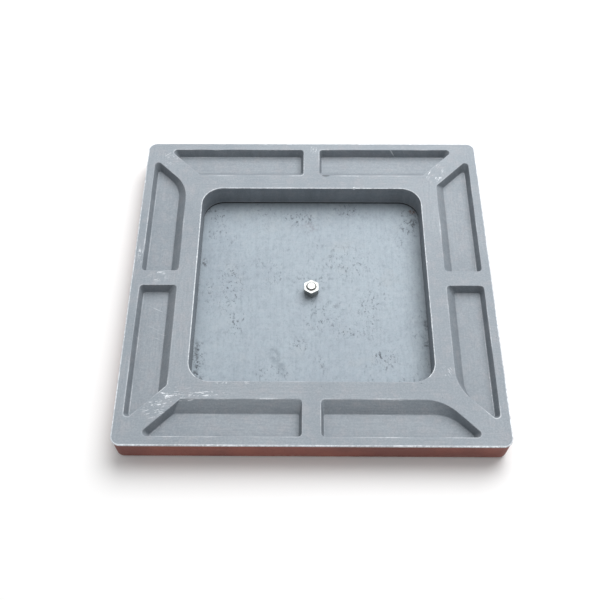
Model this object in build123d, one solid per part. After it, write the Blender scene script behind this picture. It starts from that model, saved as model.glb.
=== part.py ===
from build123d import *
import os
from math import cos, pi, radians, sqrt, tan

# Square composite manhole cover, laid upside down: its street face is on z = 0 and +Z points out
# of its underside. A grey moulded ring with eight lightening pockets carries a galvanised tread
# plate in a rebate in its street face. The plate bears on a rubber seal, and an M16 bolt stands
# up through its middle.

# Moulded ring, millimetres
frame_size = 600
frame_height = 50
outer_corner_radius = 15
opening_size = 386
opening_corner_radius = 35
opening_arris = 0.8
lip_height = 3.5
lip_overhang = 0.8
lip_arris = 1.0

# Red-brown wear layer, moulded round the sides and over the street face
facing_thickness = 3.5
side_draft = 1.5
street_arris_radius = 8

# Lightening pockets, two on each side of the ring
pocket_inner_line = 223
pocket_outer_line = 285
pocket_depth = 16
middle_rib = 29
corner_rib_line = 23
side_inner_run = 15
near_far_inner_run = 18
corner_wall_run = 5
outer_wall_run = 4
rib_wall_run = 4
pocket_corner_radius = 6
pocket_floor_radius = 4
tight_corner_radii = (8, 8)
wide_corner_radii = (70, 58)

# Tread plate in its rebate, and the seal it bears on
rebate_size = 440
rebate_corner_radius = 22
plate_gap = 2
plate_thickness = 6
tread_height = 1.5
tread_pitch = 36
tread_bar = (24, 7)
centre_pad_radius = 22
seal_thickness = 3
seal_gap = 1

# M16 centre bolt with its nut and spring washer
thread_radius = 8
thread_clearance = 0.05
bolt_head_radius = 15
bolt_socket = (10, 5)
bolt_hole_radius = 8.5
bolt_end_chamfer = 1.4
bolt_end_proud = 2.5
nut_across_flats = 24
nut_height = 13
nut_face_radius = 11.4
nut_bore_chamfer = 0.75
washer_outer_radius = 12
washer_bore_radius = 8.1
washer_thickness = 3.5
washer_slit = 2.2

# Steel hoops cast into the ring
hoop_bar_radius = 5
hoop_bend_radius = 40
inner_hoop = (208, 38)
outer_hoop = (262, 18)

# Levels worked out from the sizes above
plate_street_z = tread_height
plate_inner_z = plate_street_z + plate_thickness
seat_z = plate_inner_z + seal_thickness
lip_z = frame_height - lip_height
nut_z = plate_inner_z + washer_thickness
bolt_end_z = nut_z + nut_height + bolt_end_proud


def rounded_square(size, corner_radius, z=0):
    return Pos(0, 0, z) * RectangleRounded(size, size, corner_radius)


def tapered_block(size, corner_radius, bottom_z, bottom_radius):
    """Block that narrows from the lip down towards the street face."""
    top = rounded_square(size, corner_radius, lip_z)
    block = extrude(top, amount=bottom_z - lip_z, taper=side_draft)
    bottom_edges = block.faces().sort_by(Axis.Z)[0].edges()
    return fillet(bottom_edges, bottom_radius)


def inset_corners(corners, runs):
    """Corners of a closed outline after each side has moved inwards by its own run."""
    lines = []
    for index, (start, run) in enumerate(zip(corners, runs)):
        end = corners[(index + 1) % len(corners)]
        length = sqrt((end[0] - start[0]) ** 2 + (end[1] - start[1]) ** 2)
        direction = ((end[0] - start[0]) / length, (end[1] - start[1]) / length)
        moved = (start[0] - direction[1] * run, start[1] + direction[0] * run)
        lines.append((moved, direction))
    met = []
    for index, (point, direction) in enumerate(lines):
        before_point, before_direction = lines[index - 1]
        cross = before_direction[0] * direction[1] - before_direction[1] * direction[0]
        across = point[0] - before_point[0], point[1] - before_point[1]
        travel = (across[0] * direction[1] - across[1] * direction[0]) / cross
        met.append((before_point[0] + before_direction[0] * travel,
                    before_point[1] + before_direction[1] * travel))
    return met


def pocket_outline(corners, radii, z):
    path = FilletPolyline(*corners, radius=radii, close=True)
    return Pos(0, 0, z) * make_face(path)


def pocket(wide_corner, inner_run):
    """Pocket right of the middle rib on the far side of the ring, as a solid to cut away."""
    rib_end = middle_rib / 2
    mouth = [
        (rib_end, pocket_inner_line),
        (pocket_inner_line - corner_rib_line, pocket_inner_line),
        (pocket_outer_line - corner_rib_line, pocket_outer_line),
        (rib_end, pocket_outer_line),
    ]
    runs = (inner_run, corner_wall_run, outer_wall_run, rib_wall_run)
    floor = inset_corners(mouth, runs)
    corner_radius, corner_floor_radius = wide_corner_radii if wide_corner else tight_corner_radii
    mouth_radii = [pocket_corner_radius, corner_radius, pocket_corner_radius, pocket_corner_radius]
    floor_radii = [pocket_floor_radius, corner_floor_radius, pocket_floor_radius, pocket_floor_radius]
    floor_face = pocket_outline(floor, floor_radii, frame_height - pocket_depth)
    mouth_face = pocket_outline(mouth, mouth_radii, frame_height)
    return loft([floor_face, mouth_face], ruled=True)


def pockets():
    """All eight pockets, two a side. Those beside three of the corner ribs have a wide curved corner."""
    wide_right_of_rib = {0: False, 90: True, 180: False, 270: True}
    wide_left_of_rib = {0: False, 90: False, 180: True, 270: False}
    cut = []
    for angle in (0, 90, 180, 270):
        inner_run = side_inner_run if angle in (90, 270) else near_far_inner_run
        right = pocket(wide_right_of_rib[angle], inner_run)
        left = mirror(pocket(wide_left_of_rib[angle], inner_run), about=Plane.YZ)
        cut += [Rot(0, 0, angle) * right, Rot(0, 0, angle) * left]
    return cut


def hoop(half_width, z):
    """Square hoop of round bar with bent corners, its ends welded together."""
    path = Pos(0, 0, z) * RectangleRounded(2 * half_width, 2 * half_width, hoop_bend_radius).wire()
    start = path @ 0
    section = Plane(origin=start, z_dir=path % 0) * Circle(hoop_bar_radius)
    return sweep(section, path=path)


def frame_body(hoops):
    core_size = frame_size - 2 * lip_overhang - 2 * facing_thickness
    core = tapered_block(core_size, outer_corner_radius - lip_overhang - facing_thickness,
                         facing_thickness, street_arris_radius - facing_thickness)
    lip = extrude(rounded_square(frame_size, outer_corner_radius, lip_z), amount=lip_height)
    top_edges = lip.faces().sort_by(Axis.Z)[-1].edges()
    lip = chamfer(top_edges, lip_arris)
    opening = extrude(rounded_square(opening_size, opening_corner_radius), amount=frame_height)
    rebate = extrude(rounded_square(rebate_size, rebate_corner_radius), amount=seat_z)
    body = core + lip - opening - rebate
    for shape in pockets():
        body -= shape
    top = body.faces().filter_by(Axis.Z).sort_by(Axis.Z)[-1]
    opening_wire = top.inner_wires().sort_by(lambda wire: wire.bounding_box().size.X)[-1]
    body = chamfer(opening_wire.edges(), opening_arris)
    for bar in hoops:
        body -= bar
    return body


def frame_facing():
    outer = tapered_block(frame_size - 2 * lip_overhang, outer_corner_radius - lip_overhang,
                          0, street_arris_radius)
    core_size = frame_size - 2 * lip_overhang - 2 * facing_thickness
    core = tapered_block(core_size, outer_corner_radius - lip_overhang - facing_thickness,
                         facing_thickness, street_arris_radius - facing_thickness)
    rebate = extrude(rounded_square(rebate_size, rebate_corner_radius), amount=facing_thickness)
    return outer - core - rebate


def seat_seal():
    outer = rounded_square(rebate_size - 2 * seal_gap, rebate_corner_radius - seal_gap, plate_inner_z)
    inner = rounded_square(opening_size, opening_corner_radius, plate_inner_z)
    return extrude(outer - inner, amount=seal_thickness)


def tread_bars():
    """Raised bars on the street face, turned a quarter from one to the next."""
    count = int((rebate_size - tread_pitch) / tread_pitch)
    half = (count - 1) / 2
    bars = []
    for row in range(count):
        for column in range(count):
            x = (column - half) * tread_pitch
            y = (row - half) * tread_pitch
            if sqrt(x * x + y * y) < centre_pad_radius + tread_bar[0] / 2:
                continue
            turn = 45 if (row + column) % 2 else -45
            bars.append(Pos(x, y, 0) * Rot(0, 0, turn) * SlotOverall(*tread_bar))
    return bars


def cover_plate():
    size = rebate_size - 2 * plate_gap
    plate = extrude(rounded_square(size, rebate_corner_radius - plate_gap, plate_street_z),
                    amount=plate_thickness)
    raised = Sketch() + tread_bars() + Circle(centre_pad_radius)
    plate += extrude(raised, amount=plate_street_z)
    cone_height = bolt_head_radius - bolt_hole_radius
    plate -= Pos(0, 0, cone_height / 2) * Cone(bolt_head_radius, bolt_hole_radius, cone_height)
    plate -= Cylinder(bolt_hole_radius, 2 * plate_inner_z)
    return plate


def centre_bolt():
    cone_height = bolt_head_radius - thread_radius
    head = Pos(0, 0, cone_height / 2) * Cone(bolt_head_radius, thread_radius, cone_height)
    shank = extrude(Circle(thread_radius), amount=bolt_end_z)
    end_edge = shank.edges().filter_by(GeomType.CIRCLE).sort_by(Axis.Z)[-1]
    shank = chamfer(end_edge, bolt_end_chamfer)
    across_flats, depth = bolt_socket
    socket = extrude(RegularPolygon(across_flats / 2, 6, major_radius=False), amount=depth)
    return head + shank - socket


def spring_washer():
    ring = Circle(washer_outer_radius) - Circle(washer_bore_radius)
    slit = Pos(washer_outer_radius, 0) * Rectangle(washer_outer_radius, washer_slit)
    return extrude(Pos(0, 0, plate_inner_z) * (ring - slit), amount=washer_thickness)


def centre_nut():
    corner_radius = nut_across_flats / 2 / cos(pi / 6)
    bevel = (corner_radius - nut_face_radius) * tan(radians(30))
    profile = Polyline(
        (0, nut_z), (nut_face_radius, nut_z), (corner_radius, nut_z + bevel),
        (corner_radius, nut_z + nut_height - bevel), (nut_face_radius, nut_z + nut_height),
        (0, nut_z + nut_height), close=True)
    turned = revolve(Plane.XZ * make_face(profile), axis=Axis.Z)
    hexagon = RegularPolygon(nut_across_flats / 2, 6, major_radius=False, rotation=30)
    prism = extrude(Pos(0, 0, nut_z) * hexagon, amount=nut_height)
    bore_radius = thread_radius + thread_clearance
    nut = (turned & prism) - Pos(0, 0, nut_z) * extrude(Circle(bore_radius), amount=nut_height)
    rims = nut.edges().filter_by(GeomType.CIRCLE).filter_by(
        lambda edge: abs(edge.radius - bore_radius) < 1e-3)
    return chamfer(rims, nut_bore_chamfer)


inner_hoop_bar = hoop(*inner_hoop)
outer_hoop_bar = hoop(*outer_hoop)
pieces = {
    "frame_body": frame_body([inner_hoop_bar, outer_hoop_bar]),
    "frame_facing": frame_facing(),
    "inner_hoop_bar": inner_hoop_bar,
    "outer_hoop_bar": outer_hoop_bar,
    "seat_seal": seat_seal(),
    "cover_plate": cover_plate(),
    "centre_bolt": centre_bolt(),
    "spring_washer": spring_washer(),
    "centre_nut": centre_nut(),
}

os.makedirs("parts", exist_ok=True)
for node, piece in pieces.items():
    export_step(piece, f"parts/{node}.step")
    size = piece.bounding_box().size
    print(f"{node}: {len(piece.solids())} solid, {piece.volume / 1000:.1f} cm3, "
          f"{size.X:.1f} x {size.Y:.1f} x {size.Z:.1f} mm")
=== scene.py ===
from math import atan2, ceil, cos, hypot, pi, radians, sin, tan

import bmesh
import bpy
import numpy as np
from mathutils import Matrix, Vector, noise
from mathutils.geometry import delaunay_2d_cdt


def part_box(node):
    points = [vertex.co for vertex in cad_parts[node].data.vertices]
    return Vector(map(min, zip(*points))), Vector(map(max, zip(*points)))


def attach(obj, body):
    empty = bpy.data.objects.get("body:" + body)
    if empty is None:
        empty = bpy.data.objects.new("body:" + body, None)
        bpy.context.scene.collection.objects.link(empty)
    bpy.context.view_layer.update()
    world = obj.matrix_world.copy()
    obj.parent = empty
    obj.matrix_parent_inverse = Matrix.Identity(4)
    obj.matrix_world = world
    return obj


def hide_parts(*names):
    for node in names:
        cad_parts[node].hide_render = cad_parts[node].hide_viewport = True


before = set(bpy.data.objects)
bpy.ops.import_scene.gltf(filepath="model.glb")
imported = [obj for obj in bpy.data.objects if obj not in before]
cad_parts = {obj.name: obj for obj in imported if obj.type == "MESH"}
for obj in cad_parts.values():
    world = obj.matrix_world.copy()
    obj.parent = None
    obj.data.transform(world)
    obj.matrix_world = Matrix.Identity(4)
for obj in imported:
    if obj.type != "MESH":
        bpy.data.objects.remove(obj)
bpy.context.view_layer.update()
print("frame loaded:", len(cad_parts), "nodes")

mm = 0.001

# levels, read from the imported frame
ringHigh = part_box("frame_body")[1]
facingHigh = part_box("frame_facing")[1]
sealLow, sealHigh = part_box("seat_seal")
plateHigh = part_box("cover_plate")[1]
nutLow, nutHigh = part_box("centre_nut")
washerLow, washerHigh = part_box("spring_washer")
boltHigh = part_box("centre_bolt")[1]


class Field:
    # wraps a socket of a material's nodes, so that sums and products add Math nodes
    def __init__(self, tree, socket=None):
        self.tree, self.socket = tree, socket

    def node(self, kind, settings=None, inputs=None, out=0):
        # adds a node: its settings first, then a value or a link for each socket that is named
        made = self.tree.nodes.new(kind)
        for name, value in (settings or {}).items():
            setattr(made, name, value)
        for name, value in (inputs or {}).items():
            if isinstance(value, Field):
                self.tree.links.new(value.socket, made.inputs[name])
            else:
                made.inputs[name].default_value = value
        return Field(self.tree, made.outputs[out])

    def maths(self, operation, first, second):
        return self.node("ShaderNodeMath", {"operation": operation}, {0: first, 1: second})

    def __add__(self, other):
        return self.maths("ADD", self, other)

    def __sub__(self, other):
        return self.maths("SUBTRACT", self, other)

    def __rsub__(self, other):
        return self.maths("SUBTRACT", other, self)

    def __mul__(self, other):
        return self.maths("MULTIPLY", self, other)

    __radd__, __rmul__ = __add__, __mul__

    def most(self, other):
        return self.maths("MAXIMUM", self, other)

    def least(self, other):
        return self.maths("MINIMUM", self, other)

    def unsigned(self):
        return self.node("ShaderNodeMath", {"operation": "ABSOLUTE"}, {0: self})

    def rise(self, low, high, start=0.0, end=1.0):
        # eases from start to end as this value goes from low to high
        return self.node("ShaderNodeMapRange", {"interpolation_type": "SMOOTHSTEP"},
                         {0: self, 1: low, 2: high, 3: start, 4: end})


# shader helpers: each adds its nodes to the tree of the field that it is given

def objectPoint(field):
    return field.node("ShaderNodeTexCoord", out=3)


def stretched(point, scale):
    return point.node("ShaderNodeVectorMath", {"operation": "MULTIPLY"}, {0: point, 1: scale})


def moved(point, offset):
    return point.node("ShaderNodeVectorMath", {"operation": "ADD"}, {0: point, 1: offset})


def cloud(point, scale, detail=3.0, rough=0.55, twist=0.0):
    return point.node("ShaderNodeTexNoise", None, {"Vector": point, "Scale": scale, "Detail": detail,
                                                   "Roughness": rough, "Distortion": twist})


def cells(point, scale, out=0):
    return point.node("ShaderNodeTexVoronoi", None, {"Vector": point, "Scale": scale}, out)


def blend(share, first, second):
    # from the first colour at a share of 0 to the second at 1
    return share.node("ShaderNodeMix", {"data_type": "RGBA"}, {0: share, 6: first, 7: second}, 2)


def layered(colour, *layers):
    # lays each colour over the last by its share
    for share, tint in layers:
        colour = blend(share, colour, tint)
    return colour


def axisValue(point, axis):
    return point.node("ShaderNodeSeparateXYZ", None, {0: point}, axis)


def wornValue(field, name="worn"):
    return field.node("ShaderNodeAttribute", {"attribute_name": name}, out=2)


def spot(point, centre, reach):
    # 1 at the centre, easing to 0 at an ellipse of that reach
    offset = moved(point, [-value for value in centre])
    shrunk = stretched(offset, [1 / value for value in reach])
    length = point.node("ShaderNodeVectorMath", {"operation": "LENGTH"}, {0: shrunk}, 1)
    return length.rise(0.35, 1.0, 1.0, 0.0)


def turnedPoint(point, angle):
    return point.node("ShaderNodeVectorRotate", {"rotation_type": "Z_AXIS"},
                      {"Vector": point, "Angle": radians(angle)})


def relief(height, strength, distance):
    return height.node("ShaderNodeBump", None,
                       {"Strength": strength, "Distance": distance, "Height": height})


def surfaceOf(name, paint, **constants):
    made = bpy.data.materials.new(name)
    made.use_nodes = True
    tree = made.node_tree
    tree.nodes.clear()
    shader = tree.nodes.new("ShaderNodeBsdfPrincipled")
    output = tree.nodes.new("ShaderNodeOutputMaterial")
    tree.links.new(shader.outputs[0], output.inputs[0])
    for socketName, value in constants.items():
        shader.inputs[socketName.replace("_", " ")].default_value = value
    for socketName, value in paint(Field(tree)).items():
        tree.links.new(value.socket, shader.inputs[socketName])
    return made


def grey(value):
    return (value, value, value, 1.0)


# finishes

# the darkest tone serves the real specks and pits, and also the painted shade in the hollows and on the
# walls
ringLook = {
    "base": (0.274, 0.308, 0.342, 1), "cool": (0.220, 0.255, 0.290, 1), "warm": (0.308, 0.322, 0.350, 1),
    "pale": (0.86, 0.90, 0.94, 1), "shadeAndSoot": (0.060, 0.068, 0.080, 1),
}
# scuffs on the underside: centre, reach, direction of their scratches in degrees, strength
ringScuffs = [
    ((-0.212, -0.224), (0.050, 0.026), 8, 1.0), ((-0.240, -0.238), (0.026, 0.024), 20, 0.9),
    ((-0.170, -0.215), (0.060, 0.007), 1, 1.0), ((0.224, 0.228), (0.022, 0.030), 60, 0.9),
    ((-0.258, 0.003), (0.024, 0.015), 4, 0.8), ((0.211, -0.174), (0.010, 0.020), -58, 0.6),
    ((-0.290, 0.048), (0.006, 0.034), 88, 0.6), ((-0.262, 0.262), (0.030, 0.026), 40, 0.35),
    ((0.004, 0.286), (0.012, 0.012), 75, 0.45), ((-0.120, -0.196), (0.050, 0.004), 0, 0.7),
]
ringNick = {"centre": (0.026, 0.2235, ringHigh.z), "reach": (0.009, 0.0035, 0.006)}


def paintRing(field):
    point = objectPoint(field)
    sideways = axisValue(point, 0)
    along = axisValue(point, 1)
    sideShare = (sideways * sideways - along * along).rise(-0.004, 0.004)
    acrossStreak = cloud(stretched(point, (8, 110, 40)), 3.0, 5.0, 0.65)
    alongStreak = cloud(stretched(point, (110, 8, 40)), 3.0, 5.0, 0.65)
    streak = acrossStreak * (1 - sideShare) + alongStreak * sideShare
    broad = cloud(point, 7.0, 3.0, 0.5, 0.4)
    mottle = cloud(point, 55.0, 5.0, 0.6)
    grain = cloud(point, 340.0, 4.0, 0.8)
    colour = layered(ringLook["base"],
                     (broad.rise(0.36, 0.66, 0.0, 0.7), ringLook["cool"]),
                     (mottle.rise(0.44, 0.68, 0.0, 0.7), ringLook["warm"]),
                     (streak.rise(0.42, 0.62, 0.0, 0.5), ringLook["cool"]),
                     (grain.rise(0.44, 0.62, 0.0, 0.11), ringLook["shadeAndSoot"]),
                     (grain.rise(0.52, 0.36, 0.0, 0.05), ringLook["pale"]))
    # painted shade: darker in the pockets, down the opening's wall and along the feet of the walls, by how
    # sheltered each point is
    hollow = wornValue(field, "hollow") * cloud(point, 30.0, 4.0).rise(0.25, 0.7, 0.45, 1.0)
    colour = blend(hollow * 0.30, colour, ringLook["shadeAndSoot"])
    # painted shade: steep walls are painted darker, and the slopes a little, most in the side pockets, by
    # how far they face away from up
    normal = field.node("ShaderNodeNewGeometry", out=1)
    steep = axisValue(normal, 2).rise(0.30, 0.62, 1.0, 0.0)
    shadeCloud = cloud(stretched(point, (60, 60, 14)), 1.0, 4.0, 0.6)
    wallPaintedShade = steep * shadeCloud.rise(0.3, 0.7, 0.45, 0.75)
    sloping = axisValue(normal, 2).rise(0.76, 0.90, 1.0, 0.0)
    slopePaintedShade = sloping * shadeCloud.rise(0.3, 0.7, 0.16, 0.26) * (sideShare * 0.8 + 0.2)
    colour = blend((wallPaintedShade * 0.56).most(slopePaintedShade), colour, ringLook["shadeAndSoot"])
    # pale scuffs: fine scratches broken up inside each scuffed place
    scratches = None
    for (x, y), (reachX, reachY), angle, share in ringScuffs:
        place = spot(point, (x, y, ringHigh.z), (reachX, reachY, 0.004))
        turned = turnedPoint(point, -angle)
        lines = cloud(stretched(turned, (34, 480, 60)), 1.0, 3.0, 0.7)
        breaks = cloud(moved(point, (x, y, 0)), 110.0, 3.0, 0.65)
        mark = place * lines.rise(0.52, 0.58) * breaks.rise(0.47, 0.58) * share
        scratches = mark if scratches is None else scratches.most(mark)
    stray = cloud(stretched(turnedPoint(point, 24), (18, 700, 18)), 1.0, 2.0, 0.6)
    strayPatch = cloud(moved(point, (3, 1, 0)), 11.0, 2.0).rise(0.56, 0.70)
    scratches = scratches.most(stray.rise(0.66, 0.74) * strayPatch * 0.5)
    # arrises worn pale, more in some places than others, and laid near white in part as a painted
    # highlight; the same worn value carries the painted highlight line along each pocket floor
    chips = cloud(point, 210.0, 4.0, 0.7).rise(0.36, 0.62)
    arris = wornValue(field).rise(0.05, 0.85) * (chips * 0.6 + 0.4)
    pale = scratches.most(arris)
    colour = blend(pale.least(1.0) * 0.95, colour, ringLook["pale"])
    # a few small pits and dark specks
    pits = cells(point, 95.0).rise(0.045, 0.075, 1.0, 0.0)
    nick = spot(point, ringNick["centre"], ringNick["reach"]).rise(0.1, 0.5)
    pitted = (pits * cloud(point, 16.0, 2.0).rise(0.52, 0.62)).most(nick * 1.4)
    colour = blend(pitted * 0.6, colour, ringLook["shadeAndSoot"])
    height = grain * 0.6 + mottle * 0.4 + streak * 0.6 - pitted * 1.2 - scratches * 0.5
    return {"Base Color": colour,
            "Roughness": (mottle * 0.22 + 0.50 + pale * 0.12).least(0.9),
            "Normal": relief(height, 0.6, 0.0009)}


facingLook = {"base": (0.245, 0.078, 0.057, 1), "dark": (0.142, 0.045, 0.036, 1),
              "dust": (0.40, 0.27, 0.23, 1)}


def paintFacing(field):
    point = objectPoint(field)
    height = axisValue(point, 2)
    broad = cloud(point, 9.0, 3.0)
    speckle = cloud(point, 260.0, 4.0, 0.7)
    drag = cloud(stretched(point, (26, 26, 420)), 1.0, 4.0, 0.65)
    colour = blend(broad.rise(0.35, 0.68, 0.0, 0.8), facingLook["base"], facingLook["dark"])
    colour = blend(speckle.rise(0.50, 0.70, 0.0, 0.45), colour, facingLook["dark"])
    # cement-like dust towards the street edge, and rubbed arrises
    low = height.rise(0.004, 0.026, 1.0, 0.0) * cloud(point, 38.0, 4.0, 0.6).rise(0.42, 0.66)
    rubbed = wornValue(field).rise(0.1, 0.9) * cloud(point, 150.0, 3.0, 0.7).rise(0.38, 0.60)
    scrape = drag.rise(0.62, 0.70) * cloud(point, 20.0, 2.0).rise(0.50, 0.62)
    pale = (low * 0.14).most(rubbed * 0.5).most(scrape * 0.4)
    colour = blend(pale, colour, facingLook["dust"])
    pits = cells(point, 130.0).rise(0.06, 0.10, 1.0, 0.0)
    relieved = speckle * 0.5 + drag * 0.5 - pits * 0.8
    return {"Base Color": colour, "Roughness": speckle * 0.2 + 0.62 + pale * 0.1,
            "Normal": relief(relieved, 0.6, 0.0006)}


plateLook = {
    "base": (0.286, 0.338, 0.384, 1), "light": (0.314, 0.370, 0.414, 1), "deep": (0.180, 0.219, 0.252, 1),
    "speck": (0.030, 0.036, 0.046, 1), "chalk": (0.40, 0.44, 0.47, 1), "rust": (0.14, 0.06, 0.035, 1),
    "lilac": (0.245, 0.250, 0.300, 1), "stain": (0.165, 0.150, 0.170, 1),
}
# places where dark specks gather: centre, reach, strength
speckPlaces = [
    ((-0.140, 0.010), (0.030, 0.060), 0.8), ((-0.125, -0.062), (0.026, 0.030), 0.9),
    ((-0.187, -0.140), (0.010, 0.052), 1.3), ((-0.172, -0.176), (0.020, 0.014), 1.1),
    ((0.064, -0.078), (0.034, 0.016), 0.9), ((-0.184, -0.135), (0.014, 0.050), 1.0),
    ((0.117, -0.130), (0.030, 0.026), 0.9), ((-0.019, -0.104), (0.020, 0.016), 0.8),
    ((0.064, 0.176), (0.030, 0.020), 1.0), ((-0.021, 0.160), (0.040, 0.030), 0.7),
    ((0.176, 0.150), (0.022, 0.050), 1.0), ((0.060, 0.060), (0.060, 0.050), 0.45),
    ((-0.170, 0.165), (0.024, 0.024), 0.9), ((-0.060, -0.160), (0.050, 0.030), 0.5),
    ((0.000, 0.020), (0.040, 0.030), 0.6), ((0.020, -0.060), (0.040, 0.025), 0.7),
]
plateMarks = {
    "stain": (-0.002, 0.139, plateHigh.z), "stainReach": (0.020, 0.017, 0.03),
    "smudge": (-0.056, -0.131, plateHigh.z), "smudgeReach": (0.013, 0.042, 0.03), "smudgeTurn": -24,
    "rust": (0.183, 0.174, plateHigh.z), "rustReach": (0.008, 0.008, 0.03),
    "blotches": [(-0.187, -0.108), (-0.188, -0.126), (-0.184, -0.143), (-0.187, -0.160),
                 (-0.179, -0.172), (-0.170, -0.182), (0.191, -0.066), (0.189, -0.101),
                 (0.183, 0.150), (-0.186, 0.060), (-0.188, 0.178)], "blotchReach": (0.0065, 0.013, 0.03),
}


def paintPlate(field):
    point = objectPoint(field)
    sideways = axisValue(point, 0)
    along = axisValue(point, 1)
    broad = cloud(point, 5.5, 3.0, 0.5, 0.6)
    spangle = cells(point, 120.0, out=1)
    spangleValue = field.node("ShaderNodeSeparateColor", None, {0: spangle}, 0)
    runs = cloud(stretched(point, (190, 9, 10)), 1.0, 4.0, 0.6)
    crossRuns = cloud(stretched(point, (9, 150, 10)), 1.0, 3.0, 0.6)
    grain = cloud(point, 260.0, 4.0, 0.8)
    mottle = cloud(stretched(point, (1, 0.6, 1)), 110.0, 4.0, 0.7)
    colour = layered(plateLook["light"],
                     (broad.rise(0.34, 0.68), plateLook["base"]),
                     (runs.rise(0.46, 0.72, 0.0, 0.22), plateLook["deep"]),
                     (crossRuns.rise(0.52, 0.72, 0.0, 0.14), plateLook["chalk"]),
                     (spangleValue * 0.14, plateLook["lilac"]),
                     (mottle.rise(0.50, 0.66, 0.0, 0.26), plateLook["deep"]),
                     (mottle.rise(0.48, 0.34, 0.0, 0.16), plateLook["chalk"]),
                     (grain.rise(0.50, 0.64, 0.0, 0.26), plateLook["deep"]))
    # chalky patches of white rust
    chalk = cloud(moved(point, (5, 2, 0)), 26.0, 5.0, 0.65).rise(0.54, 0.70)
    colour = blend(chalk * 0.35, colour, plateLook["chalk"])
    # dark specks, gathered in places
    gather = cloud(point, 14.0, 2.0).rise(0.52, 0.72, 0.0, 0.6)
    for (x, y), (reachX, reachY), strength in speckPlaces:
        gather = gather.most(spot(point, (x, y, plateHigh.z), (reachX, reachY, 0.02)) * strength)
    squashed = stretched(point, (1.0, 0.55, 1.0))
    specks = cloud(squashed, 235.0, 4.0, 0.8).rise(0.56, 0.605)
    crumbs = cells(point, 130.0).rise(0.09, 0.15, 1.0, 0.0)
    dots = specks.most(crumbs * cloud(point, 60.0, 2.0).rise(0.46, 0.54))
    dark = dots * (gather * 0.85 + 0.15)
    colour = blend(dark * 0.78, colour, plateLook["speck"])
    # a faint shapeless stain, a rubbed smudge and a rust mark
    stain = spot(point, plateMarks["stain"], plateMarks["stainReach"])
    stain = stain * cloud(moved(point, (7, 3, 0)), 125.0, 4.0, 0.7).rise(0.40, 0.66)
    colour = blend(stain * 0.5, colour, plateLook["stain"])
    fromSmudge = moved(point, [-value for value in plateMarks["smudge"]])
    fromSmudge = turnedPoint(fromSmudge, plateMarks["smudgeTurn"])
    smudge = spot(fromSmudge, (0, 0, 0), plateMarks["smudgeReach"])
    smudge = smudge * cloud(point, 90.0, 4.0, 0.7).rise(0.34, 0.62)
    colour = blend(smudge * 0.75, colour, plateLook["deep"])
    for x, y in plateMarks["blotches"]:
        blotch = spot(point, (x, y, plateHigh.z), plateMarks["blotchReach"])
        blotch = blotch * cloud(point, 150.0, 3.0, 0.7).rise(0.40, 0.60)
        colour = blend(blotch * 0.8, colour, plateLook["speck"])
    rust = spot(point, plateMarks["rust"], plateMarks["rustReach"])
    colour = blend(rust * cloud(point, 200.0, 2.0).rise(0.4, 0.6), colour, plateLook["rust"])
    # painted shade along the foot of the walls round the opening
    edge = sideways.unsigned().most(along.unsigned())
    paintedShade = edge.rise(0.166, 0.194) * cloud(point, 34.0, 4.0, 0.65).rise(0.32, 0.68, 0.25, 1.0)
    colour = blend(paintedShade * 0.42, colour, plateLook["deep"])
    height = grain * 0.4 + runs * 0.35 + crossRuns * 0.3 + spangleValue * 0.12 - dark * 0.5
    return {"Base Color": colour,
            "Roughness": grain * 0.14 + 0.55 + chalk * 0.12 + dark * 0.15,
            "Metallic": (chalk + dark + paintedShade * 0.5).least(1.0) * -0.08 + 0.10,
            "Normal": relief(height, 0.4, 0.0004)}


zincLook = {"bright": (0.38, 0.39, 0.38, 1), "dull": (0.27, 0.28, 0.28, 1),
            "paintedShade": (0.10, 0.095, 0.085, 1), "spots": (0.25, 0.22, 0.18, 1)}


def paintZinc(field):
    point = objectPoint(field)
    grain = cloud(point, 900.0, 3.0, 0.6)
    patch = cloud(point, 160.0, 3.0, 0.6)
    tool = cloud(stretched(point, (300, 300, 2600)), 1.0, 3.0, 0.6)
    colour = blend(patch.rise(0.40, 0.66, 0.0, 0.7), zincLook["bright"], zincLook["dull"])
    # painted shade: darker where the bolt's thread valleys, its socket, the nut's bore and the nut's sides
    # are sheltered
    colour = blend(wornValue(field, "hollow") * 0.7, colour, zincLook["paintedShade"])
    spots = cloud(point, 520.0, 2.0).rise(0.66, 0.74)
    colour = blend(spots * 0.5, colour, zincLook["spots"])
    return {"Base Color": colour, "Roughness": patch * 0.16 + 0.32 + spots * 0.2,
            "Normal": relief(grain * 0.4 + tool * 0.6, 0.35, 0.0001)}


washerLook = {"bright": (0.62, 0.63, 0.63, 1), "dull": (0.42, 0.42, 0.41, 1),
              "paintedShade": (0.08, 0.075, 0.07, 1)}


def paintWasher(field):
    point = objectPoint(field)
    patch = cloud(point, 240.0, 4.0, 0.65)
    grain = cloud(point, 1200.0, 3.0, 0.6)
    colour = blend(patch.rise(0.38, 0.66), washerLook["bright"], washerLook["dull"])
    # painted shade: the washer under the nut is darkened a little by its sheltered value
    colour = blend(wornValue(field, "hollow") * 0.5, colour, washerLook["paintedShade"])
    return {"Base Color": colour, "Roughness": patch * 0.2 + 0.30,
            "Normal": relief(grain, 0.3, 0.0001)}


rubberLook = {"black": (0.012, 0.012, 0.014, 1), "bloom": (0.05, 0.05, 0.052, 1)}


def paintRubber(field):
    point = objectPoint(field)
    grain = cloud(point, 700.0, 3.0, 0.65)
    bloom = cloud(point, 42.0, 4.0, 0.6)
    colour = blend(bloom.rise(0.52, 0.74, 0.0, 0.5), rubberLook["black"], rubberLook["bloom"])
    return {"Base Color": colour, "Roughness": bloom * 0.2 + 0.55,
            "Normal": relief(grain, 0.4, 0.0002)}


barLook = {"scale": (0.13, 0.115, 0.105, 1), "rust": (0.22, 0.095, 0.05, 1)}


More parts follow.
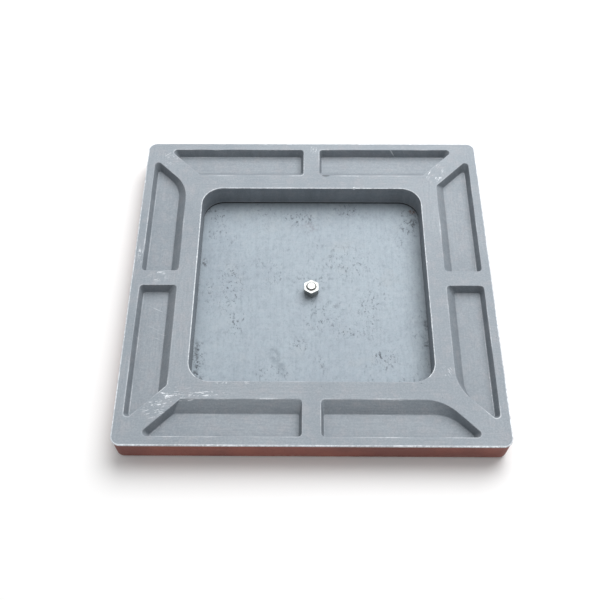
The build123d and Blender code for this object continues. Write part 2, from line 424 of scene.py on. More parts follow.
def paintBar(field):
    point = objectPoint(field)
    scale = cloud(point, 70.0, 5.0, 0.65)
    grain = cloud(point, 800.0, 3.0, 0.6)
    colour = blend(scale.rise(0.42, 0.62), barLook["scale"], barLook["rust"])
    return {"Base Color": colour, "Roughness": scale * 0.3 + 0.5,
            "Normal": relief(scale * 0.7 + grain * 0.3, 0.6, 0.0006)}


def paintFloor(field):
    point = objectPoint(field)
    broad = cloud(point, 1.3, 2.0)
    grain = cloud(point, 420.0, 2.0)
    colour = blend(broad, grey(0.86), grey(0.90))
    return {"Base Color": colour, "Roughness": grain * 0.1 + 0.7}


finishes = {
    "ring": surfaceOf("ringComposite", paintRing),
    "facing": surfaceOf("redBrownFacing", paintFacing),
    "plate": surfaceOf("galvanisedPlate", paintPlate),
    "zinc": surfaceOf("brightZinc", paintZinc, Metallic=1.0),
    "washer": surfaceOf("springZinc", paintWasher, Metallic=1.0),
    "rubber": surfaceOf("blackSeal", paintRubber),
    "bar": surfaceOf("millScaleBar", paintBar, Metallic=0.6),
    "floor": surfaceOf("paleFloor", paintFloor),
}
print("finishes made:", len(finishes))


def each(value, count):
    # a list as it is, or one value repeated
    return value if isinstance(value, list) else [value] * count


class Shell:
    # gathers the points and faces of one piece, with how worn each point is (pale edges, partly a painted
    # highlight) and how sheltered (painted as shade by the finishes)
    def __init__(self):
        self.points, self.faces, self.worn, self.hollow = [], [], [], []

    def loop(self, points, worn=0.0, hollow=0.0):
        first = len(self.points)
        self.points += [tuple(point) for point in points]
        self.worn += each(worn, len(points))
        self.hollow += each(hollow, len(points))
        return list(range(first, len(self.points)))

    def strips(self, loops, closed=True):
        for first, second in zip(loops, loops[1:]):
            count = len(first)
            for i in range(count if closed else count - 1):
                j = (i + 1) % count
                self.faces.append((first[i], first[j], second[j], second[i]))

    def sheet(self, outer, holes, spacing, lift=None, hollow=0.0):
        # fills between the outer loop and the holes with near-even triangles, lifted by lift(x, y)
        rims = [outer] + holes
        edge = [index for rim in rims for index in rim]
        flat = np.array([self.points[index][:2] for index in edge])
        level = self.points[outer[0]][2]
        low, high = flat.min(0), flat.max(0)
        steps = [max(2, ceil((high[axis] - low[axis]) / spacing)) for axis in (0, 1)]
        columns = [low[0] + (high[0] - low[0]) * i / steps[0] for i in range(1, steps[0])]
        rows = [low[1] + (high[1] - low[1]) * j / steps[1] for j in range(1, steps[1])]
        lattice = np.array([(x, y) for x in columns for y in rows])
        clear = np.array([((flat - place) ** 2).sum(1).min() > (0.55 * spacing) ** 2
                          for place in lattice], bool)
        lattice = lattice[clear & self.within(lattice, rims)]
        links, start = [], 0
        for rim in rims:
            links += [(start + i, start + (i + 1) % len(rim)) for i in range(len(rim))]
            start += len(rim)
        places = [Vector(place) for place in flat.tolist() + lattice.tolist()]
        found = delaunay_2d_cdt(places, links, [], 0, 1e-9, True)
        corners, triangles, sources = found[0], found[2], found[3]  # sources: the given points of each
        inner = self.loop([(x, y, level + (lift(x, y) if lift else 0.0)) for x, y in lattice], 0.0, hollow)
        known = edge + inner
        names = [known[source[0]] for source in sources]
        spots = np.array([tuple(corner) for corner in corners])
        middles = np.array([spots[list(triangle)].mean(0) for triangle in triangles])
        keep = self.within(middles, rims)
        self.faces += [tuple(names[i] for i in triangle) for triangle, kept in zip(triangles, keep) if kept]

    def within(self, places, rims):
        # inside the first rim and outside the others
        inside = np.zeros(len(places), bool)
        x, y = places[:, 0], places[:, 1]
        for rim in rims:
            shape = np.array([self.points[index][:2] for index in rim])
            crossed = np.zeros(len(places), bool)
            for (x0, y0), (x1, y1) in zip(shape, np.roll(shape, -1, 0)):
                if y0 == y1:
                    continue
                spans = (y0 > y) != (y1 > y)
                crossed ^= spans & (x < (x1 - x0) * (y - y0) / (y1 - y0) + x0)
            inside ^= crossed
        return inside

    def piece(self, name, finish, body, node, sharpAngle=50):
        mesh = bpy.data.meshes.new(name)
        mesh.from_pydata(self.points, [], self.faces)
        for label, values in (("worn", self.worn), ("hollow", self.hollow)):
            mesh.attributes.new(label, "FLOAT", "POINT").data.foreach_set("value", values)
        work = bmesh.new()
        work.from_mesh(mesh)
        bmesh.ops.remove_doubles(work, verts=work.verts, dist=1e-7)
        bmesh.ops.recalc_face_normals(work, faces=work.faces)
        work.to_mesh(mesh)
        work.free()
        mesh.shade_smooth()
        mesh.set_sharp_from_angle(angle=radians(sharpAngle))
        mesh.materials.append(finishes[finish])
        made = bpy.data.objects.new(name, mesh)
        bpy.context.scene.collection.objects.link(made)
        even = made.modifiers.new("evenNormals", "WEIGHTED_NORMAL")
        even.mode, even.keep_sharp = "FACE_AREA", True
        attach(made, body)
        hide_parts(node)
        openEdges = sum(1 for count in edgeUse(mesh).values() if count != 2)
        print("made", name, len(mesh.polygons), "faces,", openEdges, "open edges")
        return made


def edgeUse(mesh):
    used = {}
    for face in mesh.polygons:
        for key in face.edge_keys:
            used[key] = used.get(key, 0) + 1
    return used


def outline(corners, radii, sideSteps, arcSteps):
    # closed anticlockwise outline with rounded corners: a list of (x, y, outward x, outward y)
    count = len(corners)
    arcs = []
    for i in range(count):
        here, before, after = Vector(corners[i]), Vector(corners[i - 1]), Vector(corners[(i + 1) % count])
        arriving, leaving = (here - before).normalized(), (after - here).normalized()
        turn = atan2(arriving.cross(leaving), arriving.dot(leaving))
        centre = here - arriving * radii[i] * tan(turn / 2) + Vector((-arriving.y, arriving.x)) * radii[i]
        first = atan2(-arriving.x, arriving.y)
        angles = [first + turn * k / arcSteps[i] for k in range(arcSteps[i] + 1)]
        arcs.append([(centre.x + radii[i] * cos(angle), centre.y + radii[i] * sin(angle),
                      cos(angle), sin(angle)) for angle in angles])
    path = []
    for i in range(count):
        path += arcs[i]
        start, end = arcs[i][-1], arcs[(i + 1) % count][0]
        for k in range(1, sideSteps[i]):
            share = k / sideSteps[i]
            path.append((start[0] + (end[0] - start[0]) * share, start[1] + (end[1] - start[1]) * share,
                         start[2], start[3]))
    return path


def squareOutline(half, radius, sideSteps, arcSteps):
    corners = [(half, -half), (half, half), (-half, half), (-half, -half)]
    return outline(corners, [radius] * 4, [sideSteps] * 4, [arcSteps] * 4)


def offsetPoints(path, offset, z):
    return [Vector((x + outX * offset, y + outY * offset, z)) for x, y, outX, outY in path]


def outwardWays(path):
    return [Vector((outX, outY, 0)) for x, y, outX, outY in path]


def rounding(shell, corners, firstWays, secondWays, sizes, steps, worn=0.0, hollow=0.0, skirts=(0, 0)):
    # loops that round off a corner line, from along firstWays to along secondWays; a skirt is an
    # unworn loop that much further along its surface
    firstWays, secondWays, sizes = (each(value, len(corners)) for value in (firstWays, secondWays, sizes))

    def skirt(ways, width):
        points = [corner + way * (size + width) for corner, way, size in zip(corners, ways, sizes)]
        return [shell.loop(points, 0.0, hollow)] if width else []

    loops = skirt(firstWays, skirts[0])
    for k in range(steps + 1):
        share = k / steps
        points = [corner + first * (size * (1 - share) ** 2) + second * (size * share ** 2)
                  for corner, first, second, size in zip(corners, firstWays, secondWays, sizes)]
        loops.append(shell.loop(points, worn, hollow))
    return loops + skirt(secondWays, skirts[1])


def chippedSizes(points, size, chips):
    # the moulded size of an arris, larger where it has been knocked
    sizes = []
    for point in points:
        broad = noise.noise(point * chips["spread"])
        fine = noise.noise(point * chips["grain"] + Vector((7, 3, 1)))
        knock = max(0.0, broad * 0.7 + fine - chips["threshold"])
        sizes.append(size * (1 + chips["depth"] * knock))
    return sizes


def wearAlong(points, least, spread, seed):
    # how worn each point of an arris is, in uneven stretches
    return [min(1.0, max(least, 0.5 + 0.9 * noise.noise(point * spread + Vector((seed, 0, 0)))))
            for point in points]


down, up = Vector((0, 0, -1)), Vector((0, 0, 1))

# the grey ring with its eight pockets

ring = {
    "half": ringHigh.x, "cornerRadius": 15 * mm, "outerSteps": (140, 8), "innerSteps": (112, 12),
    "lipHeight": 3.5 * mm, "lipArris": 1.0 * mm, "lipFoot": 0.4 * mm, "lipChips": 1.4, "lipSkirt": 1.3 * mm,
    "overhang": ringHigh.x - facingHigh.x, "facing": 3.5 * mm, "fitGap": 0.05 * mm, "draft": 1.5,
    "coreArris": 4.5 * mm, "sideLevels": (30 * mm, 12 * mm, 8.5 * mm),
    "rebateHalf": 220 * mm, "rebateRadius": 22 * mm, "rebateArris": 0.4 * mm,
    "seatCorner": 0.6 * mm, "seatArris": 0.5 * mm,
    "openingHalf": 193 * mm, "openingRadius": 35 * mm, "openingArris": 1.0 * mm, "openingChips": 3.0,
    "openingSkirts": (0.5 * mm, 0.9 * mm), "nearWear": 0.35, "nearStart": -185 * mm,
    # heights up the opening's wall, and how much painted shade darkens each, most near the foot
    "wallLevels": ((15 * mm, 0.9), (24 * mm, 0.7), (34 * mm, 0.5), (43 * mm, 0.3)), "wallWave": 0.15 * mm,
    "sheetSpacing": 11 * mm, "coreSpacing": 24 * mm, "sag": 0.12 * mm,
}
pocket = {
    "inner": 223 * mm, "outer": 285 * mm, "rib": 14.5 * mm, "cornerLine": 23 * mm, "depth": 16 * mm,
    "sideRun": 15 * mm, "nearFarRun": 18 * mm, "otherRuns": (5 * mm, 4 * mm, 4 * mm),
    "mouthRadius": 6 * mm, "floorRadius": 4 * mm,
    "tight": (8 * mm, 8 * mm), "wide": (70 * mm, 58 * mm), "arris": 1.1 * mm, "foot": 1.1 * mm,
    "skirts": (0.9 * mm, 0.5 * mm), "highlightLine": (0.3 * mm, 0.8 * mm),
    "sideSteps": (56, 26, 74, 18), "arcSteps": (5, 5, 7, 5), "wideArcSteps": 18,
    # shares of the way down the wall, and how much painted shade darkens each, most near the floor
    "wallShares": ((0.3, 0.15), (0.55, 0.35), (0.75, 0.6)), "sheetSpacing": 9 * mm, "floorSag": 0.25 * mm,
}
# turn about Z in degrees, whether mirrored, and whether its corner is the wide one
pocketPlaces = [
    (0, False, False), (0, True, False), (90, False, True), (90, True, False),
    (180, False, False), (180, True, True), (270, False, True), (270, True, False),
]
chips = {"spread": 34, "grain": 210, "threshold": 0.42, "depth": 2.6}


def insetCorners(corners, runs):
    # corners of an outline after each side has moved inwards by its own run
    sides = []
    for i, run in enumerate(runs):
        here, after = Vector(corners[i]), Vector(corners[(i + 1) % len(corners)])
        way = (after - here).normalized()
        sides.append((here + Vector((-way.y, way.x)) * run, way))
    met = []
    for i, (place, way) in enumerate(sides):
        beforePlace, beforeWay = sides[i - 1]
        travel = (place - beforePlace).cross(way) / beforeWay.cross(way)
        met.append(beforePlace + beforeWay * travel)
    return met


def slightSag(depth, scale, seed):
    return lambda x, y: -depth * (0.5 + 0.5 * noise.noise(Vector((x * scale, y * scale, seed))))


def cutPocket(shell, angle, mirrored, wide):
    # lays one pocket into the shell and returns the loop that its mouth makes in the underside
    mouthCorners = [(pocket["rib"], pocket["inner"]),
                    (pocket["inner"] - pocket["cornerLine"], pocket["inner"]),
                    (pocket["outer"] - pocket["cornerLine"], pocket["outer"]),
                    (pocket["rib"], pocket["outer"])]
    innerRun = pocket["sideRun"] if angle in (90, 270) else pocket["nearFarRun"]
    floorCorners = insetCorners(mouthCorners, (innerRun, *pocket["otherRuns"]))
    mouthTurn, floorTurn = pocket["wide"] if wide else pocket["tight"]
    arcSteps = list(pocket["arcSteps"])
    arcSteps[1] = pocket["wideArcSteps"] if wide else arcSteps[1]
    mouth = outline(mouthCorners, [pocket["mouthRadius"], mouthTurn] + [pocket["mouthRadius"]] * 2,
                    pocket["sideSteps"], arcSteps)
    floor = outline(floorCorners, [pocket["floorRadius"], floorTurn] + [pocket["floorRadius"]] * 2,
                    pocket["sideSteps"], arcSteps)
    place = Matrix.Rotation(radians(angle), 3, "Z")
    if mirrored:
        place = place @ Matrix.Diagonal((-1, 1, 1))
    rimPoints = [place @ Vector((x, y, ringHigh.z)) for x, y, outX, outY in mouth]
    footPoints = [place @ Vector((x, y, ringHigh.z - pocket["depth"])) for x, y, outX, outY in floor]
    outWays = [place @ Vector((outX, outY, 0)) for x, y, outX, outY in mouth]
    inWays = [place @ Vector((-outX, -outY, 0)) for x, y, outX, outY in floor]
    wallWays = [(foot - rim).normalized() for rim, foot in zip(rimPoints, footPoints)]
    backWays = [-way for way in wallWays]
    rimSizes = chippedSizes(rimPoints, pocket["arris"], chips)
    # the rim's pale edge: worn, and in part a painted highlight
    worn = [0.42 * value for value in wearAlong(rimPoints, 0.1, 22, 5)]
    loops = rounding(shell, rimPoints, outWays, wallWays, rimSizes, 5, worn, 0.0, pocket["skirts"])
    for share, hollow in pocket["wallShares"]:
        loops.append(shell.loop([rim.lerp(foot, share) for rim, foot in zip(rimPoints, footPoints)],
                                0.0, hollow))
    # the foot of the wall is given a high sheltered value, painted as shade
    loops += rounding(shell, footPoints, backWays, inWays, pocket["foot"], 4, 0.0, 0.9)
    # a thin painted highlight line where the floor starts, strongest below the outer wall; the loops beside
    # it carry painted shade
    highlightGap, highlightWidth = pocket["highlightLine"]
    floorStart = pocket["foot"] + highlightGap
    facesCentre = [way.dot(foot.normalized()) < -0.6 for way, foot in zip(inWays, footPoints)]
    pale = [value * (0.85 if faces else 0.4)
            for value, faces in zip(wearAlong(footPoints, 0.4, 18, angle), facesCentre)]
    for inset, worn, hollow in ((floorStart, pale, 0.5), (floorStart + highlightWidth, 0.0, 0.35)):
        points = [foot + way * inset for foot, way in zip(footPoints, inWays)]
        loops.append(shell.loop(points, worn, hollow))
    shell.strips(loops)
    # the floor is a little sheltered, painted slightly darker as shade
    shell.sheet(loops[-1], [], pocket["sheetSpacing"], slightSag(pocket["floorSag"], 60, angle), 0.2)
    return loops[0]


def sideInset(z):
    # how far the moulded core stands in from the lip at that height
    below = ringHigh.z - ring["lipHeight"] - z
    return ring["overhang"] + ring["facing"] + below * tan(radians(ring["draft"]))


outer = squareOutline(ring["half"], ring["cornerRadius"], *ring["outerSteps"])
opening = squareOutline(ring["openingHalf"], ring["openingRadius"], *ring["innerSteps"])
rebate = squareOutline(ring["rebateHalf"], ring["rebateRadius"], *ring["innerSteps"])


def makeRing():
    shell = Shell()
    inWays = [-way for way in outwardWays(outer)]
    # the lip, which stands out over the red-brown layer
    lipFoot = ringHigh.z - ring["lipHeight"]
    lipEdge = offsetPoints(outer, 0, ringHigh.z)
    lipSizes = chippedSizes(lipEdge, ring["lipArris"], {**chips, "depth": ring["lipChips"]})
    # the lip's edge is laid pale: a worn flash edge and in part a painted highlight
    lipWear = wearAlong(lipEdge, 0.6, 14, 2)
    loops = rounding(shell, lipEdge, inWays, down, lipSizes, 4, lipWear, 0.0, (ring["lipSkirt"], 0))
    topRim = loops[0]
    loops.append(shell.loop(offsetPoints(outer, 0, lipFoot + 0.7 * mm), lipWear))
    loops += rounding(shell, offsetPoints(outer, 0, lipFoot), up, inWays, ring["lipFoot"], 3, 0.5)
    # the lip's underside is fully sheltered, painted as shade under the overhang
    loops.append(shell.loop(offsetPoints(outer, -sideInset(lipFoot) - ring["fitGap"], lipFoot), 0.0, 1.0))
    # the core behind that layer
    for z in ring["sideLevels"]:
        loops.append(shell.loop(offsetPoints(outer, -sideInset(z) - ring["fitGap"], z)))
    coreFoot = ring["facing"] + ring["fitGap"]
    footInset = sideInset(ring["facing"]) + ring["fitGap"]
    loops += rounding(shell, offsetPoints(outer, -footInset, coreFoot), up, inWays, ring["coreArris"], 4)
    shell.strips(loops)
    coreRim = loops[-1]
    # rebate, seat and the wall of the opening
    rebateOut = outwardWays(rebate)
    rebateEdge = offsetPoints(rebate, 0, coreFoot)
    inner = rounding(shell, rebateEdge, rebateOut, up, ring["rebateArris"], 2)
    rebateRim = inner[0]
    inner.append(shell.loop(offsetPoints(rebate, 0, sealHigh.z - 0.8 * mm)))
    inner += rounding(shell, offsetPoints(rebate, 0, sealHigh.z), down,
                      [-way for way in rebateOut], ring["seatCorner"], 2)
    openingOut = outwardWays(opening)
    seatEdge = offsetPoints(opening, 0, sealHigh.z)
    inner += rounding(shell, seatEdge, openingOut, up, ring["seatArris"], 2, 0.2)
    for z, hollow in ring["wallLevels"]:
        wall = [point + way * ring["wallWave"] * noise.noise(point * 25)
                for point, way in zip(offsetPoints(opening, 0, z), openingOut)]
        inner.append(shell.loop(wall, 0.0, hollow))
    openingEdge = offsetPoints(opening, 0, ringHigh.z)
    openingSizes = chippedSizes(openingEdge, ring["openingArris"], {**chips, "depth": ring["openingChips"]})
    # the near side of the opening gets a weaker pale edge than the others, worn edge and painted highlight
    # alike
    openingWear = [wear * (ring["nearWear"] if edge.y < ring["nearStart"] else 1.0)
                   for wear, edge in zip(wearAlong(openingEdge, 0.58, 16, 9), openingEdge)]
    inner += rounding(shell, openingEdge, down, openingOut, openingSizes, 5, openingWear, 0.0,
                      ring["openingSkirts"])
    shell.strips(inner)
    mouths = [cutPocket(shell, *place) for place in pocketPlaces]
    shell.sheet(topRim, [inner[-1]] + mouths, ring["sheetSpacing"], slightSag(ring["sag"], 22, 4))
    shell.sheet(coreRim, [rebateRim], ring["coreSpacing"])
    return shell.piece("ring_moulding", "ring", "frame", "frame_body")


makeRing()

# the red-brown layer round the sides and over the street face

facing = {"arris": 0.6 * mm, "streetArris": 8 * mm, "rebateArris": 1.2 * mm, "fitGap": 0.05 * mm,
          "wave": 0.2 * mm, "levels": (30 * mm, 20 * mm), "hiddenLevels": (24 * mm, 8 * mm),
          "innerCorner": 4 * mm, "sheetSpacing": 16 * mm, "hiddenSpacing": 30 * mm}


def makeFacing():
    shell = Shell()
    inWays = [-way for way in outwardWays(outer)]
    topZ = facingHigh.z - facing["fitGap"]

    def faceEdge(z, inset=0.0):
        return offsetPoints(outer, ring["facing"] - sideInset(z) - inset, z)

    inside = [shell.loop(offsetPoints(outer, -sideInset(z), z)) for z in (topZ, *facing["hiddenLevels"])]
    loops = rounding(shell, faceEdge(topZ), inWays, down, facing["arris"], 2, 0.2)
    for z in facing["levels"]:
        wavy = [point - way * facing["wave"] * noise.noise(point * 18)
                for point, way in zip(faceEdge(z, facing["wave"] / 2), inWays)]
        loops.append(shell.loop(wavy))
    streetEdge = faceEdge(0.0)
    loops += rounding(shell, streetEdge, up, inWays, facing["streetArris"], 9,
                      [0.7 * value for value in wearAlong(streetEdge, 0.2, 12, 3)])
    streetRim = loops[-1]
    rebateEdge = offsetPoints(rebate, 0, 0)
    inner = rounding(shell, rebateEdge, outwardWays(rebate), up, facing["rebateArris"], 4,
                     wearAlong(rebateEdge, 0.3, 15, 6))
    inner.append(shell.loop(offsetPoints(rebate, 0, ring["facing"])))
    cornerInset = sideInset(ring["facing"]) + facing["innerCorner"]
    corner = shell.loop(offsetPoints(outer, -cornerInset, ring["facing"]))
    shell.strips([corner] + inside[::-1] + loops)
    shell.strips(inner)
    shell.sheet(streetRim, [inner[0]], facing["sheetSpacing"])
    shell.sheet(corner, [inner[-1]], facing["hiddenSpacing"])
    return shell.piece("red_brown_facing", "facing", "frame", "frame_facing")


makeFacing()

# the rubber strip, cut by hand, so that its inner edge wanders a little

seal = {"half": 219 * mm, "cornerRadius": 21 * mm, "arris": 0.5 * mm, "wander": 0.5 * mm}


def makeSeal():
    shell = Shell()
    outside = squareOutline(seal["half"], seal["cornerRadius"], *ring["innerSteps"])
    cut = []
    for x, y, outX, outY in opening:
        shift = seal["wander"] * (0.5 + 0.5 * noise.noise(Vector((x, y, 0)) * 28))
        cut.append((x + outX * shift, y + outY * shift, outX, outY))
    loops = []
    # the section's four corners, up the outer side and down the inner one
    for path, z, side in ((outside, sealLow.z, 1), (outside, sealHigh.z, 1),
                          (cut, sealHigh.z, -1), (cut, sealLow.z, -1)):
        ways = [[-way * side for way in outwardWays(path)], up if z == sealLow.z else down]
        endsUpright = (side == 1) == (z == sealLow.z)
        loops += rounding(shell, offsetPoints(path, 0, z), *(ways if endsUpright else ways[::-1]),
                          seal["arris"], 3)
    shell.strips(loops + [loops[0]])
    return shell.piece("seal_strip", "rubber", "frame", "seat_seal")


makeSeal()

# the galvanised plate, with raised bars on its street face

plate = {
    "half": plateHigh.x, "cornerRadius": 20 * mm, "arris": 0.6 * mm, "steps": (48, 8), "dish": 0.15 * mm,
    "hole": 8.5 * mm, "holeArris": 0.3 * mm, "head": 15 * mm, "around": 64,
    # the pad round the bolt head, and the steps of its edge: how far in and how high
    "pad": 22 * mm, "padSteps": ((1.2 * mm, 0.0), (0.5 * mm, 0.4 * mm)),
    "pitch": 36 * mm, "bar": (24 * mm, 7 * mm), "barHeight": 1.5 * mm,
    # steps up the side of a bar: how far in from its foot and how high, in millimetres
    "barSteps": ((0, 0), (0.5, 0.65), (1.1, 1.15), (1.8, 1.42), (2.5, 1.5)),
    "innerSpacing": 10 * mm, "streetSpacing": 12 * mm,
}


def turnedLoop(shell, z, radiusAt, count, worn=0.0, hollow=0.0):
    points = []
    for i in range(count):
        angle = 2 * pi * i / count
        radius = radiusAt(angle)
        points.append(Vector((radius * cos(angle), radius * sin(angle), z)))
    return shell.loop(points, worn, hollow)


def fixed(radius):
    return lambda angle: radius


def treadBar(shell, x, y, angle):
    long, short = plate["bar"][0] / 2, plate["bar"][1] / 2
    corners = [(long, -short), (long, short), (-long, short), (-long, -short)]
    path = outline(corners, [short * 0.96] * 4, [1, 4, 1, 4], [4] * 4)
    turn = Matrix.Rotation(radians(angle), 3, "Z")
    loops = []
    for inset, height in plate["barSteps"]:
        rim = offsetPoints(path, -inset * mm, plate["barHeight"] - height * mm)
        loops.append(shell.loop([turn @ point + Vector((x, y, 0)) for point in rim],
                                min(1.0, height / 1.5)))
    shell.strips(loops)
    shell.faces.append(tuple(loops[-1]))
    return loops[0]


def makePlate():
    shell = Shell()
    edge = squareOutline(plate["half"], plate["cornerRadius"], *plate["steps"])
    inWays = [-way for way in outwardWays(edge)]
    loops = rounding(shell, offsetPoints(edge, 0, plateHigh.z), inWays, down, plate["arris"], 3, 0.3)
    loops += rounding(shell, offsetPoints(edge, 0, plate["barHeight"]), up, inWays, plate["arris"], 3, 0.3)
    shell.strips(loops)
    # through the hole and its cone, then out over the pad
    hole, arris, head, pad = (plate[size] for size in ("hole", "holeArris", "head", "pad"))
    levels = [(hole + arris, plateHigh.z), (hole, plateHigh.z - arris), (hole, head - hole), (head, 0.0)]
    levels += [(pad - inset, height) for inset, height in plate["padSteps"]] + [(pad, plate["barHeight"])]
    middle = [turnedLoop(shell, z, fixed(radius), plate["around"]) for radius, z in levels]
    shell.strips(middle)
    bars = []
    rows = int((2 * plate["half"] - plate["pitch"]) / plate["pitch"])
    for row in range(rows):
        for column in range(rows):
            x, y = ((place - (rows - 1) / 2) * plate["pitch"] for place in (column, row))
            if hypot(x, y) > pad + plate["bar"][0] / 2:
                bars.append(treadBar(shell, x, y, 45 if (row + column) % 2 else -45))
    shell.sheet(loops[0], [middle[0]], plate["innerSpacing"], slightSag(plate["dish"], 14, 8))
    shell.sheet(loops[-1], [middle[-1]] + bars, plate["streetSpacing"])
    return shell.piece("tread_plate", "plate", "cover", "cover_plate")


makePlate()

# M16 bolt, nut and spring washer, with one thread for the first two

thread = {"pitch": 2 * mm, "crest": 7.97 * mm, "root": 6.75 * mm, "gap": 0.11 * mm,
          "rowHeight": 0.18 * mm, "around": 72}


def threadRadius(angle, z):
    turns = z / thread["pitch"] - angle / (2 * pi)
    ridge = abs(2 * (turns % 1.0) - 1)
    share = min(1.0, max(0.0, (ridge - 0.25) / 0.62))
    return thread["root"] + (thread["crest"] - thread["root"]) * share


def hexagon(acrossFlats, sharpness=90):
    # the radius, by angle, of a hexagon with slightly rounded corners
    def radiusAt(angle):
        total = sum(max(0.0, cos(angle - side * pi / 3)) ** sharpness for side in range(6))
        return acrossFlats / 2 / total ** (1 / sharpness)
    return radiusAt


bolt = {
    "headRadius": 15 * mm, "shank": 7.97 * mm, "endRadius": 6.6 * mm, "threadStart": 8.6 * mm, "runOut": 8,
    # the head's rounded edge: how far in, how high and how worn
    "headSteps": ((0.5 * mm, 0.0, 0.3), (0.3 * mm, 0.25 * mm, 0.5)),
    # its socket, and the cone of the socket's floor as radius and depth
    "socket": 10 * mm, "socketArris": 0.4 * mm, "socketDepth": 4.2 * mm,
    "socketFloor": ((1.5 * mm, 5 * mm), (4.3 * mm, 4.4 * mm)),
    # the cropped end: how far in from its rim and how deep, in millimetres
    "endDish": ((0.35, 0.0), (1.6, 0.03), (3.4, 0.10), (5.2, 0.13)),
}


def makeBolt():
    shell = Shell()
    around, end = thread["around"], boltHigh.z
    socket, mouth = hexagon(bolt["socket"]), hexagon(bolt["socket"] + 2 * bolt["socketArris"])
    # from the socket's floor, out over the head and up the plain shank: height, shape, worn, hollow
    # the socket's floor and walls are given a sheltered value, painted as shade
    sections = [(z, fixed(radius), 0, 0.6) for radius, z in bolt["socketFloor"]]
    sections += [(bolt["socketDepth"], socket, 0, 0.6), (bolt["socketArris"], socket, 0, 0)]
    sections.append((0.0, mouth, 0.6, 0))
    sections += [(z, fixed(bolt["headRadius"] - inset), worn, 0) for inset, z, worn in bolt["headSteps"]]
    plainShank = (bolt["headRadius"] - bolt["shank"], bolt["threadStart"] - 0.5 * mm)
    sections += [(z, fixed(bolt["shank"]), 0, 0) for z in plainShank]
    loops = [turnedLoop(shell, z, shape, around, worn, hollow) for z, shape, worn, hollow in sections]
    rows = ceil((end - bolt["threadStart"]) / thread["rowHeight"])
    for row in range(rows + 1):
        z = bolt["threadStart"] + (end - bolt["threadStart"]) * row / rows
        fade = min(1.0, row / bolt["runOut"])

        def radiusAt(angle, z=z, fade=fade):
            cut = bolt["shank"] + (threadRadius(angle, z) - bolt["shank"]) * fade
            return min(cut, bolt["endRadius"] + (end - z))

        # thread valleys are given a sheltered value, painted as shade
        sheltered = [min(1.0, 0.9 * (bolt["shank"] - radiusAt(2 * pi * i / around))
                         / (thread["crest"] - thread["root"])) for i in range(around)]
        loops.append(turnedLoop(shell, z, radiusAt, around, 0, sheltered))
    for inset, drop in bolt["endDish"]:
        radius = bolt["endRadius"] - inset * mm
        loops.append(turnedLoop(shell, end - drop * mm, fixed(radius), around, 0.3))
    shell.strips(loops)
    shell.faces += [tuple(loops[0]), tuple(loops[-1])]
    return shell.piece("threaded_bolt", "zinc", "cover", "centre_bolt", 38)


makeBolt()

nut = {
    "acrossFlats": 24 * mm, "faceRadius": 13.35 * mm, "faceRound": 0.2 * mm, "bevel": 30,
    "mouthRadius": 8.75 * mm, "minor": 6.92 * mm, "around": 144, "sideShade": 0.55,
    # rows of points up the sides, by their distance from either face in millimetres
    "sideLevels": (0.02, 0.10, 0.22, 0.36, 0.52, 0.70, 0.88, 1.06, 1.24, 1.42, 1.7),
}


def makeNut():
    shell = Shell()
    around, low, high = nut["around"], nutLow.z, nutHigh.z
    flats = hexagon(nut["acrossFlats"])
    slope = 1 / tan(radians(nut["bevel"]))

    def outsideAt(height):
        def radiusAt(angle):
            return min(flats(angle), nut["faceRadius"] + height * slope)
        return radiusAt

    def boreAt(z):
        def radiusAt(angle):
            cut = max(threadRadius(angle, z) + thread["gap"], nut["minor"])
            return max(cut, nut["mouthRadius"] - (z - low), nut["mouthRadius"] - (high - z))
        return radiusAt

    def faceAt(angle):
        return outsideAt(0.0)(angle) - nut["faceRound"]

    def sideLoop(z, height):
        # painted shade: the sides darken away from the faces
        sideShadeShare = nut["sideShade"] * min(1.0, max(0.0, height - 0.3) / 1.0)
        return turnedLoop(shell, z, outsideAt(height * mm), around, 0.3, sideShadeShare)

    loops = [turnedLoop(shell, low, faceAt, around, 0.2)]
    loops += [sideLoop(low + height * mm, height) for height in nut["sideLevels"]]
    loops.append(sideLoop((low + high) / 2, 5.0))
    loops += [sideLoop(high - height * mm, height) for height in reversed(nut["sideLevels"])]
    loops.append(turnedLoop(shell, high, faceAt, around, 0.2))
    loops.append(turnedLoop(shell, high, fixed(nut["mouthRadius"] + 0.8 * mm), around))
    rows = ceil((high - low) / thread["rowHeight"])
    for row in range(rows + 1):
        z = high - (high - low) * row / rows
        # the bore below its mouth is given a high sheltered value, painted as shade
        sheltered = 0.0 if z > high - 0.5 * mm else 0.9
        loops.append(turnedLoop(shell, z, boreAt(z), around, 0, sheltered))
    shell.strips(loops + [loops[0]])
    return shell.piece("hexagon_nut", "zinc", "nut", "centre_nut", 38)


makeNut()

washer = {"inner": 8.15 * mm, "outer": 11.95 * mm, "slit": 2.2 * mm, "arris": 0.35 * mm, "steps": 72}


def makeWasher():
    shell = Shell()
    low, high = washerLow.z, washerHigh.z
    inner, outer, arris = washer["inner"], washer["outer"], washer["arris"]
    section = [(inner, low + arris), (inner + arris, low), (outer - arris, low), (outer, low + arris),
               (outer, high - arris), (outer - arris, high), (inner + arris, high), (inner, high - arris)]
    half = washer["slit"] / 2 / outer
    ribs = []
    for step in range(washer["steps"] + 1):
        angle = half + (2 * pi - 2 * half) * step / washer["steps"]
        ribs.append(shell.loop([Vector((radius * cos(angle), radius * sin(angle), z))
                                for radius, z in section], 0.2, 0.15))
    shell.strips(ribs)
    shell.faces += [tuple(ribs[0]), tuple(ribs[-1])]
    return shell.piece("split_washer", "washer", "washer", "spring_washer", 30)


makeWasher()

# the cast-in hoops keep their CAD shape

for name in ("inner_hoop_bar", "outer_hoop_bar"):
    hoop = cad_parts[name]
    hoop.data.materials.clear()
    hoop.data.materials.append(finishes["bar"])

# floor, light and camera

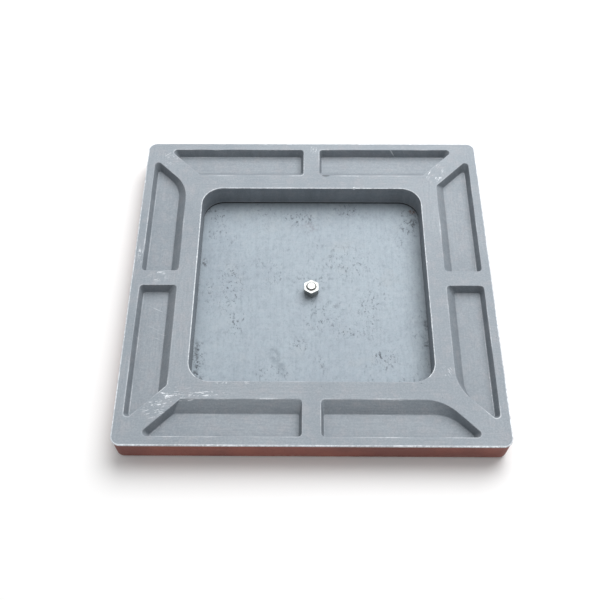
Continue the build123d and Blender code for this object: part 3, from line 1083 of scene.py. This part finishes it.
studio = {
    "floorHalf": 60.0, "keySize": 3.0, "keyPower": 103, "keyPlace": (0.75, 1.35, 2.3),
    "fillSize": 3.0, "fillPower": 3, "fillPlace": (-1.6, -1.8, 2.0), "sky": 0.50,
}


def makeFloor():
    half = studio["floorHalf"]
    mesh = bpy.data.meshes.new("floor")
    corners = [(-half, -half, 0), (half, -half, 0), (half, half, 0), (-half, half, 0)]
    mesh.from_pydata(corners, [], [(0, 1, 2, 3)])
    mesh.materials.append(finishes["floor"])
    floor = bpy.data.objects.new("floor", mesh)
    floor.location.z = -0.1 * mm
    bpy.context.scene.collection.objects.link(floor)


def softLight(name, place, size, power):
    light = bpy.data.lights.new(name, "AREA")
    light.shape, light.size, light.energy = "DISK", size, power
    made = bpy.data.objects.new(name, light)
    made.location = place
    made.rotation_euler = (-Vector(place)).to_track_quat("-Z", "Y").to_euler()
    bpy.context.scene.collection.objects.link(made)


def makeSky():
    sky = bpy.data.worlds.new("studioSky")
    sky.use_nodes = True
    background = sky.node_tree.nodes["Background"]
    background.inputs["Color"].default_value = grey(1.0)
    background.inputs["Strength"].default_value = studio["sky"]
    bpy.context.scene.world = sky


makeFloor()
softLight("keyLight", studio["keyPlace"], studio["keySize"], studio["keyPower"])
softLight("fillLight", studio["fillPlace"], studio["fillSize"], studio["fillPower"])
makeSky()

view = {"place": (-8.3 * mm, -805.5 * mm, 1240.8 * mm), "down": 57.39, "yaw": 0.79, "roll": -0.46,
        "lens": 51.77, "sensor": 36}


def makeCamera():
    data = bpy.data.cameras.new("camera")
    data.lens, data.sensor_width = view["lens"], view["sensor"]
    made = bpy.data.objects.new("camera", data)
    tilt = Matrix.Rotation(radians(90 - view["down"]), 4, "X")
    turn = Matrix.Rotation(radians(view["yaw"]), 4, "Z")
    roll = Matrix.Rotation(radians(view["roll"]), 4, "Z")
    made.matrix_world = Matrix.Translation(view["place"]) @ turn @ tilt @ roll
    bpy.context.scene.collection.objects.link(made)
    bpy.context.scene.camera = made


makeCamera()
bpy.context.scene.view_settings.view_transform = "Standard"
print("studio made")
